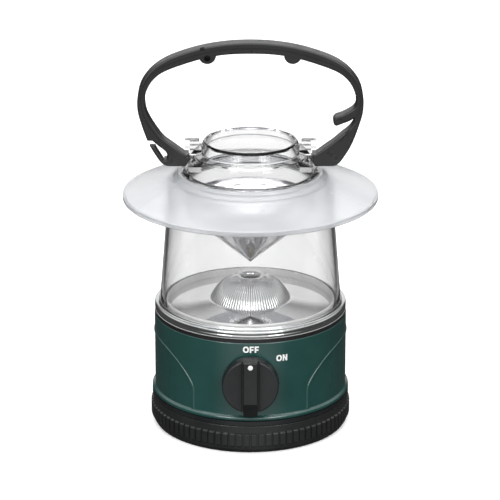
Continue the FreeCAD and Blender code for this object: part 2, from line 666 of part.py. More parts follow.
wiper = rod("wiper_disc", S.switch_radius - 1.9, 1.6, 0, -47.0, ky, TO_FRONT)
node(cut("wiper_done", wiper, [rod("wiper_bore", S.shaft_radius + 0.02, 6.0, 0, -45.0, ky, TO_FRONT)]), "switch_wiper")
nut = doc.addObject("Part::Prism", "nut_hex")
nut.Polygon = 6
bind(nut, "Circumradius", 5.9)
bind(nut, "Height", 2.1)
place(nut, 0, -57.95, ky, TO_FRONT)
node(cut("nut_done", nut, [rod("nut_bore", S.bushing_radius + 0.02, 6.0, 0, -56.0, ky, TO_FRONT)]), "switch_nut")

# ---------------------------------------------------------------- knob
# Built with its axis along local Z, then laid towards the front.
kr, kd = S.knob_radius, S.knob_disc
disc_k = turned("knob_disc_body", [(2.02, 0), (kr, 0), (kr - 0.4, kd), (2.02, kd)],
                rounds=[(0.9, [(kr - 0.4, kd)]), (0.4, [(kr, 0)])])
bar_body = doc.addObject("PartDesign::Body", "knob_bar_body")
bar_sk = outline(bar_body, "knob_bar_side", "YZ_Plane", [
    (-kr - 1.6, kd - 3.0), (-kr - 1.6, kd + 0.4), (-kr + 7.9, kd + S.knob_bar),
    (kr + 0.1, kd + S.knob_bar), (kr + 0.1, kd - 4.8), (kr - 3.0, kd - 4.8), (kr - 3.0, kd - 3.0)])
bar_pad = bar_body.newObject("PartDesign::Pad", "knob_bar_pad")
bar_pad.Profile = bar_sk
bar_pad.Midplane = True
bind(bar_pad, "Length", S.knob_bar_width)
doc.recompute()
bar_in = bar_body
bar_soft = doc.addObject("Part::Fillet", "knob_bar_soft")
bar_soft.Base = bar_in
crest = num(kd + S.knob_bar)
bar_soft.Edges = [(i, 0.7, 0.7) for i, e in enumerate(bar_in.Shape.Edges, 1)
                  if min(v.Z for v in e.Vertexes) > num(kd) + 2.0]
doc.recompute()
side = S.knob_bar_width / 2
knob_full = fuse("knob_full", [
    cut("knob_grooved", disc_k, [box("knob_groove_l", -side - 1.2, -side + 0.2, -20, 20, kd - 1.0, kd + 1),
                                 box("knob_groove_r", side - 0.2, side + 1.2, -20, 20, kd - 1.0, kd + 1)]), bar_soft])
knob = cut("knob_done", knob_full, [
    rod("knob_hollow", 9.0, 4.3, 0, 0, -0.1),
    rod("knob_bore", S.shaft_radius + 0.02, 10.4, 0, 0, -0.5)])
place(knob, 0, -S.knob_back, S.knob_height, TO_FRONT)
node(knob, "knob")


# ---------------------------------------------------------------- leads
def run_of(points, radius):
    """Wire of straight runs joined by tangent arcs."""
    edges = []
    here = V(*points[0])
    for i in range(1, len(points) - 1):
        p, a, b = V(*points[i]), V(*points[i - 1]), V(*points[i + 1])
        u, w = (a - p), (b - p)
        u.normalize()
        w.normalize()
        ang = math.acos(max(-1.0, min(1.0, u.dot(w))))
        back = radius / math.tan(ang / 2)
        s, e = p + u * back, p + w * back
        mid_dir = u + w
        mid_dir.normalize()
        centre = p + mid_dir * (radius / math.sin(ang / 2))
        m = centre - mid_dir * radius
        edges.append(Part.LineSegment(here, s).toShape())
        edges.append(Part.Arc(s, m, e).toShape())
        here = e
    edges.append(Part.LineSegment(here, V(*points[-1])).toShape())
    return Part.Wire(edges)


def lead_wire(name, points, radius, bend):
    path = run_of(points, bend)
    first = path.Edges[0]
    t = first.tangentAt(first.FirstParameter)
    sec = Part.Wire([Part.makeCircle(radius, V(*points[0]), t)])
    tube = path.makePipeShell([sec], True, False)
    print("%s volume ratio %.4f" % (name, tube.Volume / (math.pi * radius ** 2 * path.Length)))
    return free(name, tube)


lr_, lh = num(S.lead_radius), num(S.lead_height)
term_z = num(S.knob_height) + 0.3
tab_y = num(S.cell_offset)
node(lead_wire("lead_p", [(-SWITCH_LEAD_X, SWITCH_LEAD_Y, term_z), (-SWITCH_LEAD_X, SWITCH_LEAD_Y, lh),
                          (-17.5, SWITCH_LEAD_Y + 6.0, lh), (-17.5, -tab_y - 0.32, lh)], lr_, 3.0), "wire_positive")
node(lead_wire("lead_s", [(SWITCH_LEAD_X, SWITCH_LEAD_Y, term_z), (SWITCH_LEAD_X, SWITCH_LEAD_Y, lh),
                          (SWITCH_LEAD_X, -13.6, lh)], lr_, 3.0), "wire_switched")
node(lead_wire("lead_n", [(-17.5, tab_y - 0.32, lh), (-17.5, 6.0, lh), (-13.3, 4.4, lh)], lr_, 2.0), "wire_negative")

# ---------------------------------------------------------------- gasket, globe
node(turned("gasket_turn", [
    (S.shell_bore + 0.1, S.shell_top), (S.flange_radius - 0.1, S.shell_top), (S.flange_radius - 0.1, S.gasket_top),
    (S.shell_bore + 0.1, S.gasket_top)]), "globe_gasket")

gw = S.globe_wall
fp, fs = S.funnel_point, S.funnel_slope
globe_turn = turned("globe_turn", [
    (45.6, S.gasket_top), (S.flange_radius, S.gasket_top), (S.flange_radius, S.flange_top), (S.globe_foot, 82.0),
    (S.globe_head, S.globe_shoulder - 4.6), (S.globe_head - 4.4, S.globe_shoulder),
    (S.neck_outer, S.globe_shoulder), (S.neck_outer, S.neck_top), (S.neck_inner, S.neck_top),
    (S.neck_inner, fp + S.funnel_gauge + S.neck_inner / fs), (0, fp + S.funnel_gauge), (0, fp),
    (S.neck_outer, fp + S.neck_outer / fs), (S.neck_outer, S.globe_shoulder - gw),
    (S.globe_head - 5.2, S.globe_shoulder - gw), (S.globe_head - gw, S.globe_shoulder - 5.6),
    (S.globe_foot - gw, 82.6), (S.globe_foot - gw - 0.4, 73.3), (45.6, 73.3)],
    rounds=[(0.9, [(S.flange_radius, S.flange_top)]),
            (2.2, [(S.globe_foot, 82.0)]),
            (3.0, [(S.globe_head, S.globe_shoulder - 4.6)])])
node(cut("globe_done", globe_turn, [
    rod("globe_pilot%d" % i, 1.45, 1.9, x, y, S.gasket_top - 0.1) for i, (x, y) in enumerate(corners)]), "globe")

mp = fp + S.funnel_gauge + 0.15
node(turned("mirror_turn", [
    (0, mp), (S.neck_inner - 0.3, mp + (S.neck_inner - 0.3) / fs), (S.neck_inner - 0.3, 141.0),
    (S.neck_inner - 1.3, 141.0), (S.neck_inner - 1.3, mp + 1.6 + (S.neck_inner - 1.3) / fs), (0, mp + 1.6)]), "cone_mirror")

# ---------------------------------------------------------------- shade, top cap
sr, st = S.shade_radius, S.shade_root
node(turned("shade_turn", [
    (S.neck_outer + 0.4, S.globe_shoulder + 0.1), (44.0, S.globe_shoulder + 0.1), (49.4, st - S.shade_gauge - 0.1),
    (sr - 2.1, S.shade_rim_bottom + 1.5), (sr - 2.1, S.shade_rim_bottom), (sr, S.shade_rim_bottom),
    (sr, S.shade_rim_top), (sr - 1.2, S.shade_rim_top + 0.6), (50.2, st), (46.2, st + 1.4), (43.4, st + 4.2),
    (42.7, S.hub_top), (S.crown_radius + 0.3, S.hub_top), (S.crown_radius + 0.3, S.crown_bottom - 0.1),
    (S.neck_outer + 0.4, S.crown_bottom - 0.1)],
    rounds=[(0.7, [(sr, S.shade_rim_bottom)]),
            (3.5, [(46.2, st + 1.4)])]), "shade")

cr, ct = S.crown_radius, S.crown_rim
crown_turn = turned("crown_turn", [
    (S.neck_outer + 0.3, S.crown_bottom), (cr, S.crown_bottom), (cr, 157.2), (34.2, 167.4), (29.6, 168.4),
    (28.2, ct - 1.6), (27.2, ct), (26.0, ct), (25.6, ct - 0.5), (0, ct - 0.5), (0, ct - 2.6), (25.2, ct - 2.6),
    (27.4, 166.4), (32.6, 165.4), (S.neck_outer + 0.3, 156.5)],
    rounds=[(0.8, [(29.6, 168.4)]), (0.6, [(27.2, ct)])])
ears, ear_cuts = [], []
for tag, sx in (("r", 1), ("l", -1)):
    a, b = (28.6, S.ear_face) if sx > 0 else (-S.ear_face, -28.6)
    ears.append(box("ear_" + tag, a, b, -S.ear_half, S.ear_half, 156.7, 170.6))
    a, b = (30.0, S.lug_end) if sx > 0 else (-S.lug_end, -30.0)
    ears.append(box("stop_" + tag, a, b, -3.7, 3.7, 170.25, ct))
    a, b = (S.ear_face, 50.0) if sx > 0 else (-50.0, -S.ear_face)
    ear_cuts.append(box("bay_" + tag, a, b, -S.ear_half, S.ear_half, 156.6, 170.25))
    ear_cuts.append(rod("pin_hole_" + tag, S.pivot_radius + S.pivot_fit, 4.0,
                        (S.ear_face - 3.9) if sx > 0 else (-S.ear_face - 0.1), 0, S.pivot_height, TO_RIGHT))
crown_clear = cut("crown_clear", crown_turn, [ear_cuts[0], ear_cuts[2]])
node(cut("crown_done", fuse("crown_full", [crown_clear] + ears), [ear_cuts[1], ear_cuts[3]]), "top_cap")

# ---------------------------------------------------------------- handle
# Outline in the XZ plane, given for a half width of 66.1 and a rise of 70.93
# above a pivot at 163.57, and stretched to the sheet's values.
kx = num(S.handle_half) / 66.1
kz = num(S.handle_rise) / 70.93
pz = num(S.pivot_height)
hx = num(S.handle_end)


def at(p):
    return (p[0] * kx, pz + (p[1] - 163.57) * kz)


outer = [(48.4, 159.8), (51.2, 160.9), (54.8, 165.2), (57.8, 170.1), (60.2, 175.1), (62.1, 180.1), (64.0, 186.0),
         (65.5, 191.5), (66.1, 197.0), (65.7, 203.0), (64.3, 208.5), (61.3, 214.0), (56.5, 219.3), (49.5, 224.1),
         (40.4, 227.9), (28.0, 231.5), (14.0, 233.8), (0.0, 234.5)]
inner = [(38.4, 167.2), (41.4, 169.4), (44.7, 171.9), (48.3, 174.5), (51.1, 176.9), (53.1, 179.4), (54.8, 181.9),
         (58.0, 187.0), (60.5, 192.3), (61.5, 198.0), (61.2, 203.0), (59.3, 208.2), (55.4, 213.4), (51.6, 216.3),
         (46.9, 218.6), (40.5, 221.0), (33.2, 223.4), (24.0, 225.8), (14.5, 227.3), (0.0, 227.9)]
mir = lambda pts: [(-a, b) for a, b in reversed(pts)]
left_outer = [p for p in mir(outer) if p[1] > 176.5] + [(-60.35, 175.4)]
left_low = [(-59.1, 172.3), (-57.8, 170.1), (-54.8, 165.2), (-51.2, 160.9), (-48.4, 159.8)]
right_inner_top = [(x, z) for x, z in reversed(inner) if z > 200.0]
right_inner_low = [(x, z) for x, z in reversed(inner) if z < 178.0]
runs = [
    [(36.3, 159.8), (48.4, 159.8)],
    outer + left_outer[1:],
    [(-60.35, 175.4), (-57.4, 175.4)],
    [(-57.4, 175.4), (-55.2, 173.4), (-52.2, 170.9), (-49.9, 168.9), (-49.0, 167.4), (-48.9, 165.4)],
    [(-48.9, 165.4), (-49.3, 163.9), (-50.2, 163.5), (-51.1, 164.0)],
    [(-51.1, 164.0), (-52.2, 165.9), (-53.8, 168.5), (-55.0, 170.6), (-55.8, 172.3)],
    [(-55.8, 172.3), (-59.1, 172.3)],
    left_low,
    [(-48.4, 159.8), (-36.3, 159.8)],
    [(-36.3, 159.8), (-36.3, 167.2)],
    [(-36.3, 167.2), (-38.4, 167.2)],
    [(-a, b) for a, b in inner] + right_inner_top[1:] + [(61.55, 197.4)],
    [(61.55, 197.4), (60.6, 195.5), (57.6, 193.2), (54.0, 191.3), (50.9, 190.2)],
    [(50.9, 190.2), (49.1, 189.0), (48.4, 187.3), (48.9, 185.4), (50.5, 184.5)],
    [(50.5, 184.5), (55.2, 186.3)],
    [(55.2, 186.3), (58.2, 187.6), (60.4, 189.1)],
    [(60.4, 189.1), (61.1, 189.0), (61.1, 188.2)],
    [(61.1, 188.2), (59.4, 184.6), (57.2, 182.0), (54.6, 179.9), (51.1, 176.9)] + right_inner_low[1:],
    [(38.4, 167.2), (36.3, 167.2)],
    [(36.3, 167.2), (36.3, 159.8)],
]
UPRIGHT = FreeCAD.Rotation(V(1, 0, 0), 90)       # sketch X to world X, sketch Y to world Z
handle_sk = curve_sketch("handle_outline", [[at(p) for p in run] for run in runs], UPRIGHT)
handle_bar = extruded("handle_bar", handle_sk, V(0, 1, 0), S.handle_depth)
doc.recompute()
bumps = []
for i, x in enumerate((-25.0, 24.6)):
    bx, bz = at((x, 226.9))
    bumps.append(rod("bump%d" % i, 5.1, S.handle_depth, bx, S.handle_depth / 2, bz, TO_FRONT))
handle_raw = fuse("handle_raw", [handle_bar] + bumps)
doc.recompute()
round_edges = []
face_y = num(S.handle_depth) / 2
for i, e in enumerate(handle_raw.Shape.Edges, 1):
    if all(abs(abs(p.y) - face_y) < 1e-4 for p in e.discretize(5)):
        round_edges.append(i)
handle_soft = doc.addObject("Part::Fillet", "handle_soft")
handle_soft.Base = handle_raw
edge_r = num(S.handle_edge)
handle_soft.Edges = [(i, edge_r, edge_r) for i in round_edges]
doc.recompute()
print("handle rounding", handle_soft.State, handle_soft.Shape.isNull() or handle_soft.Shape.Volume, handle_raw.Shape.Volume)


# A fine groove follows the handle's inner edge on both faces.
def groove_side(extra):
    pts = inner[4:]
    line = []
    for i, (a, b) in enumerate(pts):
        p, q = pts[max(i - 1, 0)], pts[min(i + 1, len(pts) - 1)]
        da, db = q[0] - p[0], q[1] - p[1]
        if i == len(pts) - 1:
            da, db = -1.0, 0.0
        n = math.hypot(da, db)
        off = 1.5 + 1.4 * (b - 167.0) / 61.0 + extra
        line.append((a + off * db / n, b - off * da / n))
    return line + [(-a, b) for a, b in reversed(line[:-1])]


g_in, g_out = groove_side(0.0), groove_side(0.7)
groove_runs = [g_in, [g_in[-1], g_out[-1]], list(reversed(g_out)), [g_out[0], g_in[0]]]
groove_sk = curve_sketch("handle_groove", [[at(p) for p in run] for run in groove_runs], UPRIGHT)
groove_bar = extruded("groove_bar", groove_sk, V(0, 1, 0), 30.0)
groove_cut = cut("groove_cut", groove_bar, [box("groove_core", -90, 90, -(S.handle_depth / 2 - 0.55),
                                                S.handle_depth / 2 - 0.55, 120, 260)])
hole_x, hole_z = at((-25.0, 225.4))
notch_x, notch_z = at((-28.0, 231.4))
pins = [rod("pin_r", S.pivot_radius, 4.4, S.handle_end - 3.8, 0, S.pivot_height, TO_RIGHT),
        rod("pin_l", S.pivot_radius, 4.4, -S.handle_end - 0.6, 0, S.pivot_height, TO_RIGHT)]
handle_cutaway = cut("handle_cutaway", handle_soft, [
    groove_cut,
    rod("bump_hole", 1.9, 7.5, hole_x, -(S.handle_depth / 2) + 7.0, hole_z, TO_FRONT),
    box("hook_relief", -70, at((-50.8, 0))[0], 0.2, 12, at((0, 155.0))[1], at((0, 174.0))[1]),
    box("top_notch", notch_x - 1.3, notch_x + 1.3, -6.0, -(S.handle_depth / 2) + 2.2, notch_z - 1.7, notch_z + 2.0)])
node(fuse("handle_done", [handle_cutaway] + pins), "handle")

# ---------------------------------------------------------------- write
doc.recompute()
bad = []
for obj in doc.Objects:
    if "Invalid" in obj.State or "Error" in obj.State:
        bad.append("%s: %s" % (obj.Label, obj.State))
for label, obj in NODES:
    if obj.Shape.isNull() or not obj.Shape.isValid():
        bad.append("%s: shape is null or not valid" % label)
    elif not obj.Shape.Solids:
        bad.append("%s: no solid" % label)
if bad:
    raise RuntimeError("; ".join(bad))
os.makedirs("parts", exist_ok=True)
for label, obj in NODES:
    obj.Shape.exportStep("parts/%s.step" % label)
    print("%-18s solids %d volume %.1f" % (label, len(obj.Shape.Solids), obj.Shape.Volume))
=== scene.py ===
import math
import bmesh
import bpy
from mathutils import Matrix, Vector


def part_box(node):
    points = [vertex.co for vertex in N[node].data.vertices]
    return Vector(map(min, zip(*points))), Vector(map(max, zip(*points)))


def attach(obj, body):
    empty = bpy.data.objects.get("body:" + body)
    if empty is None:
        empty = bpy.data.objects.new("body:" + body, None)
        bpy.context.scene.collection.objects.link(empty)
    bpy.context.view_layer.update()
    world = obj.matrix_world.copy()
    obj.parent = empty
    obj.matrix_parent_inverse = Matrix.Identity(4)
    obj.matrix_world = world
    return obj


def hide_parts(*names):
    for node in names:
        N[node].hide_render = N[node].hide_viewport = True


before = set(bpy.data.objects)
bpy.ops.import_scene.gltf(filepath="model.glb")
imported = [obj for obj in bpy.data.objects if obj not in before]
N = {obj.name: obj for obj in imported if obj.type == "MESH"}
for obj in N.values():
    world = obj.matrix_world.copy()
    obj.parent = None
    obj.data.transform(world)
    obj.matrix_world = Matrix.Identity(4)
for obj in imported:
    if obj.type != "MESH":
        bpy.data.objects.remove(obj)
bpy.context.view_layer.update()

MM = 0.001


# ------------------------------------------------------------------ materials
class Mat:
    """A Principled material with a few short-hands for its texture nodes."""

    def __init__(self, name):
        self.m = bpy.data.materials.new(name)
        self.m.use_nodes = True
        self.t = self.m.node_tree
        self.b = next(n for n in self.t.nodes if n.type == "BSDF_PRINCIPLED")
        self.out = next(n for n in self.t.nodes if n.type == "OUTPUT_MATERIAL")
        self.co = self.t.nodes.new("ShaderNodeTexCoord")

    def set(self, **kw):
        for k, v in kw.items():
            s = self.b.inputs[k.replace("_", " ")]
            s.default_value = (*v, 1.0) if isinstance(v, tuple) and len(v) == 3 else v
        return self

    def link(self, a, b):
        self.t.links.new(a, b)

    def coords(self, stretch=(1, 1, 1)):
        mp = self.t.nodes.new("ShaderNodeMapping")
        mp.inputs["Scale"].default_value = stretch
        self.link(self.co.outputs["Object"], mp.inputs["Vector"])
        return mp.outputs["Vector"]

    def noise(self, scale, detail=3.0, rough=0.55, stretch=(1, 1, 1)):
        n = self.t.nodes.new("ShaderNodeTexNoise")
        n.inputs["Scale"].default_value = scale
        n.inputs["Detail"].default_value = detail
        n.inputs["Roughness"].default_value = rough
        self.link(self.coords(stretch), n.inputs["Vector"])
        return n.outputs["Fac"]

    def ramp(self, fac, stops):
        r = self.t.nodes.new("ShaderNodeValToRGB")
        e = r.color_ramp.elements
        while len(e) < len(stops):
            e.new(0.5)
        for k, (p, c) in enumerate(stops):
            e[k].position = p
            e[k].color = (*c, 1.0) if isinstance(c, tuple) else (c, c, c, 1.0)
        self.link(fac, r.inputs["Fac"])
        return r.outputs["Color"]

    def colour(self, fac, stops):
        self.link(self.ramp(fac, stops), self.b.inputs["Base Color"])
        return self

    def rough(self, fac, lo, hi):
        self.link(self.ramp(fac, [(0.3, lo), (0.7, hi)]), self.b.inputs["Roughness"])
        return self

    def bump(self, fac, depth, strength=1.0):
        b = self.t.nodes.new("ShaderNodeBump")
        b.inputs["Distance"].default_value = depth
        b.inputs["Strength"].default_value = strength
        self.link(fac, b.inputs["Height"])
        self.link(b.outputs["Normal"], self.b.inputs["Normal"])
        return self


def moulded(name, dark, light, lo, hi, grain=2600.0, depth=0.00001, spec=0.5):
    """Moulded plastic: faint cloudy tone, uneven gloss and a fine grain."""
    m = Mat(name)
    m.set(IOR=1.5, Specular_IOR_Level=spec)
    cloud = m.noise(38.0, 4.0)
    m.colour(cloud, [(0.3, dark), (0.7, light)])
    m.rough(m.noise(160.0, 4.0), lo, hi)
    m.bump(m.noise(grain, 2.0), depth)
    return m


def metal(name, dark, light, lo, hi, stretch=(1, 1, 1), depth=0.000008):
    m = Mat(name)
    m.set(Metallic=1.0)
    m.colour(m.noise(90.0, 3.0, stretch=stretch), [(0.3, dark), (0.7, light)])
    m.rough(m.noise(420.0, 3.0, stretch=stretch), lo, hi)
    m.bump(m.noise(900.0, 2.0, stretch=stretch), depth)
    return m


def clear(name, tint, lo, hi, ior, wave=0.00002, dense=0.0):
    """Clear plastic whose tone comes from the thickness that the light goes through."""
    m = Mat(name)
    m.set(Transmission_Weight=1.0, IOR=ior)
    if dense:
        v = m.t.nodes.new("ShaderNodeVolumeAbsorption")
        v.inputs["Color"].default_value = (0.02, 0.03, 0.05, 1.0)
        v.inputs["Density"].default_value = dense
        m.link(v.outputs["Volume"], m.out.inputs["Volume"])
    m.colour(m.noise(30.0, 2.0), [(0.3, tuple(c * 0.985 for c in tint)), (0.7, tint)])
    m.rough(m.noise(220.0, 3.0), lo, hi)
    m.bump(m.noise(70.0, 2.0), wave)
    return m


green = moulded("green_shell", (0.0148, 0.062, 0.0555), (0.0205, 0.0745, 0.067), 0.14, 0.2, 1200.0, 0.000003, 0.95)
black = moulded("black_cap", (0.016, 0.017, 0.017), (0.026, 0.027, 0.027), 0.24, 0.34, 2400.0, 0.000012)
band = moulded("black_band", (0.012, 0.013, 0.014), (0.019, 0.020, 0.021), 0.2, 0.3, 2600.0, 0.000008)
rubber = moulded("black_rubber", (0.010, 0.010, 0.011), (0.018, 0.018, 0.019), 0.5, 0.65, 1800.0, 0.00002)
gasket = moulded("gasket_painted_highlight", (0.010, 0.010, 0.011), (0.018, 0.018, 0.019), 0.4, 0.5, 1800.0, 0.00001)
# painted highlight: the gasket is black, but its top face above 71.2 mm is painted pale grey so that the clear flange
# over it shows a bright band
gz = gasket.t.nodes.new("ShaderNodeSeparateXYZ")
gasket.link(gasket.co.outputs["Object"], gz.inputs["Vector"])
painted_highlight_top = gasket.t.nodes.new("ShaderNodeMath")
painted_highlight_top.operation = "GREATER_THAN"
painted_highlight_top.inputs[1].default_value = 0.0712
gasket.link(gz.outputs["Z"], painted_highlight_top.inputs[0])
gasket.colour(painted_highlight_top.outputs["Value"], [(0.0, (0.014, 0.014, 0.015)), (1.0, (0.82, 0.82, 0.82))])
knob_black = moulded("knob_black", (0.012, 0.013, 0.014), (0.021, 0.022, 0.023), 0.3, 0.42, 2600.0, 0.00001)
charcoal = moulded("charcoal", (0.012, 0.012, 0.013), (0.019, 0.019, 0.020), 0.26, 0.38, 1700.0, 0.00002)
white_print = moulded("white_print", (0.92, 0.92, 0.92), (0.97, 0.97, 0.97), 0.45, 0.55, 3000.0, 0.000004)
globe_clear = clear("globe_clear", (0.985, 0.985, 0.985), 0.015, 0.04, 1.5, dense=36.0)
cap_clear = clear("cap_clear", (0.985, 0.985, 0.985), 0.02, 0.05, 1.3, dense=20.0)
lens_clear = clear("lens_clear", (0.95, 0.95, 0.965), 0.1, 0.18, 1.55, 0.00001)
lens_clear.set(Transmission_Weight=0.25, Metallic=0.7)
# painted shade: the lens is one clear moulding, but its colour gets a dark stripe in each groove between its 88 flutes,
# standing in for the shading and reflections of the flutes
lz = lens_clear.t.nodes.new("ShaderNodeSeparateXYZ")
lens_clear.link(lens_clear.co.outputs["Object"], lz.inputs["Vector"])
turn = lens_clear.t.nodes.new("ShaderNodeMath")
turn.operation = "ARCTAN2"
lens_clear.link(lz.outputs["X"], turn.inputs[0])
lens_clear.link(lz.outputs["Y"], turn.inputs[1])
rib = lens_clear.t.nodes.new("ShaderNodeMath")
rib.operation = "MULTIPLY"
rib.inputs[1].default_value = 88.0
lens_clear.link(turn.outputs["Value"], rib.inputs[0])
wave = lens_clear.t.nodes.new("ShaderNodeMath")
wave.operation = "COSINE"
lens_clear.link(rib.outputs["Value"], wave.inputs[0])
lens_clear.colour(wave.outputs["Value"], [(0.0, (1.0, 1.0, 1.0)), (0.5, (0.97, 0.975, 0.98)), (0.95, (0.2, 0.22, 0.23))])
chrome = metal("chrome", (0.93, 0.93, 0.94), (0.98, 0.98, 0.985), 0.03, 0.07)
mirror = metal("cone_silver", (0.72, 0.71, 0.75), (0.80, 0.79, 0.83), 0.06, 0.12)
skirt = metal("reflector_back", (0.78, 0.78, 0.78), (0.86, 0.86, 0.85), 0.45, 0.55)
skirt.set(Metallic=0.3)
flange = metal("flange_bright", (0.58, 0.6, 0.6), (0.68, 0.69, 0.69), 0.04, 0.09)
flange.set(Metallic=0.95, Coat_Weight=0.4)
silver_cone = Mat("silver_cone")
silver_cone.set(Metallic=1.0)
silver_cone.colour(silver_cone.noise(90.0), [(0.3, (0.83, 0.82, 0.86)), (0.7, (0.9, 0.89, 0.92))])
silver_cone.rough(silver_cone.noise(300.0), 0.05, 0.1)
silver_cone.bump(silver_cone.noise(160.0), 0.00002)
# the cone node is silvered below and white on its upper side
sx = mirror.t.nodes.new("ShaderNodeSeparateXYZ")
mirror.link(mirror.co.outputs["Object"], sx.inputs["Vector"])
flat = mirror.t.nodes.new("ShaderNodeVectorMath")
flat.operation = "MULTIPLY"
flat.inputs[1].default_value = (1 / 1.19, 1 / 1.19, 0.0)
mirror.link(mirror.co.outputs["Object"], flat.inputs[0])
out = mirror.t.nodes.new("ShaderNodeVectorMath")
out.operation = "LENGTH"
mirror.link(flat.outputs["Vector"], out.inputs[0])
up = mirror.t.nodes.new("ShaderNodeMath")
up.operation = "SUBTRACT"
mirror.link(sx.outputs["Z"], up.inputs[0])
mirror.link(out.outputs["Value"], up.inputs[1])
inside = mirror.t.nodes.new("ShaderNodeMath")
inside.operation = "GREATER_THAN"
inside.inputs[1].default_value = 0.10195 + 0.0005
mirror.link(up.outputs["Value"], inside.inputs[0])
mirror.colour(inside.outputs["Value"], [(0.0, (0.78, 0.77, 0.81)), (1.0, (0.9, 0.9, 0.89))])
mirror.link(mirror.ramp(inside.outputs["Value"], [(0.0, 1.0), (1.0, 0.0)]), mirror.b.inputs["Metallic"])
mirror.link(mirror.ramp(inside.outputs["Value"], [(0.0, 0.08), (1.0, 0.5)]), mirror.b.inputs["Roughness"])
steel = metal("steel", (0.50, 0.50, 0.52), (0.60, 0.60, 0.61), 0.22, 0.34)
brass = metal("brass", (0.62, 0.46, 0.20), (0.70, 0.53, 0.25), 0.2, 0.32)
nickel = metal("nickel", (0.58, 0.57, 0.54), (0.66, 0.65, 0.62), 0.2, 0.3)
red_wire = moulded("red_wire", (0.34, 0.02, 0.02), (0.42, 0.03, 0.03), 0.4, 0.5)
yellow_wire = moulded("yellow_wire", (0.5, 0.36, 0.03), (0.58, 0.42, 0.05), 0.4, 0.5)
dark_wire = moulded("dark_wire", (0.012, 0.012, 0.012), (0.022, 0.022, 0.022), 0.4, 0.5)
board = moulded("board_white", (0.66, 0.67, 0.66), (0.74, 0.75, 0.73), 0.35, 0.5)
phosphor = moulded("emitter", (0.62, 0.55, 0.16), (0.72, 0.64, 0.22), 0.35, 0.45)
tan = moulded("switch_case", (0.16, 0.10, 0.05), (0.21, 0.14, 0.07), 0.45, 0.6)

# cell jacket: dark sleeve with a brass-coloured band near its top end
cell = Mat("cell_jacket")
cell.set(IOR=1.5)
sep = cell.t.nodes.new("ShaderNodeSeparateXYZ")
cell.link(cell.co.outputs["Object"], sep.inputs["Vector"])
cell.colour(sep.outputs["Z"], [(0.0, (0.02, 0.02, 0.022)), (0.05, (0.022, 0.022, 0.024)), (0.052, (0.5, 0.34, 0.12)),
                               (0.07, (0.55, 0.38, 0.15))])
cell.rough(cell.noise(140.0), 0.25, 0.35)
cell.bump(cell.noise(1200.0), 0.000006)

# frosted shade: milky, with a cloudy tone and a fine frosted grain
frost = Mat("frosted_shade")
frost.set(IOR=1.4, Transmission_Weight=0.7, Specular_IOR_Level=0.5)
frost.colour(frost.noise(34.0, 3.0), [(0.3, (0.81, 0.825, 0.845)), (0.7, (0.87, 0.882, 0.9))])
frost.rough(frost.noise(180.0, 3.0), 0.2, 0.27)
frost.bump(frost.noise(900.0, 2.0), 0.000004)

PAINT = {
    "base_cap": black, "base_seal": rubber, "carrier_screw": steel, "contact_disc": black, "lower_contacts": nickel,
    "lower_springs": nickel, "battery_cells": cell, "battery_housing": band, "body_shell": green,
    "upper_contacts": nickel, "upper_springs": nickel, "globe_screws": steel, "led_board": board,
    "board_screws": steel, "led_emitter": phosphor, "base_reflector": chrome, "dome_lens": lens_clear,
    "switch_body": tan, "switch_cover": steel, "switch_terminals": brass, "switch_shaft": brass,
    "switch_wiper": brass, "switch_nut": nickel, "knob": knob_black, "wire_positive": red_wire,
    "wire_switched": yellow_wire, "wire_negative": dark_wire, "globe_gasket": gasket, "globe": globe_clear,
    "cone_mirror": mirror, "shade": frost, "top_cap": cap_clear, "handle": charcoal,
}
for name, m in PAINT.items():
    N[name].data.materials.clear()
    N[name].data.materials.append(m.m)


# light goes through the clear pieces to what is inside them
for name in ("globe", "top_cap"):
    N[name].visible_shadow = False


# ------------------------------------------------------------------ helpers for added pieces
def mesh_piece(name, verts, faces, mat, body, smooth=True):
    me = bpy.data.meshes.new(name)
    me.from_pydata(verts, [], faces)
    me.validate()
    me.update()
    for p in me.polygons:
        p.use_smooth = smooth
    me.materials.append(mat.m)
    ob = bpy.data.objects.new(name, me)
    bpy.context.scene.collection.objects.link(ob)
    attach(ob, body)
    return ob


# ------------------------------------------------------------------ lettering on the shell
def letter_cells(ch, w, h, t):
    """Quads (lists of 4 corners, counter-clockwise) that make up one letter, from its lower left corner."""
    quads = []

    def rect(x0, y0, x1, y1):
        k = max(1, int(round((x1 - x0) / 0.5)))
        for i in range(k):
            a, b = x0 + (x1 - x0) * i / k, x0 + (x1 - x0) * (i + 1) / k
            quads.append([(a, y0), (b, y0), (b, y1), (a, y1)])

    if ch == "F":
        rect(0, 0, t, h)
        rect(t, h - t * 0.92, w, h)
        rect(t, h * 0.56 - t * 0.92, w * 0.9, h * 0.56)
    elif ch == "N":
        rect(0, 0, t, h)
        rect(w - t, 0, w, h)
        quads.append([(t, h - t * 1.75), (w - t, 0.0), (w - t, t * 1.75), (t, h)])
    elif ch == "O":
        k, e = 40, 2.5
        ring = []
        for i in range(k):
            a = 2 * math.pi * i / k
            c, s = math.cos(a), math.sin(a)
            f = (abs(c) ** e + abs(s) ** e) ** (-1 / e)
            ring.append((c * f, s * f))
        for i in range(k):
            (c0, s0), (c1, s1) = ring[i], ring[(i + 1) % k]
            ro, ri = (w / 2, h / 2), (w / 2 - t, h / 2 - t * 0.95)
            quads.append([(w / 2 + c0 * ri[0], h / 2 + s0 * ri[1]), (w / 2 + c0 * ro[0], h / 2 + s0 * ro[1]),
                          (w / 2 + c1 * ro[0], h / 2 + s1 * ro[1]), (w / 2 + c1 * ri[0], h / 2 + s1 * ri[1])])
    return quads


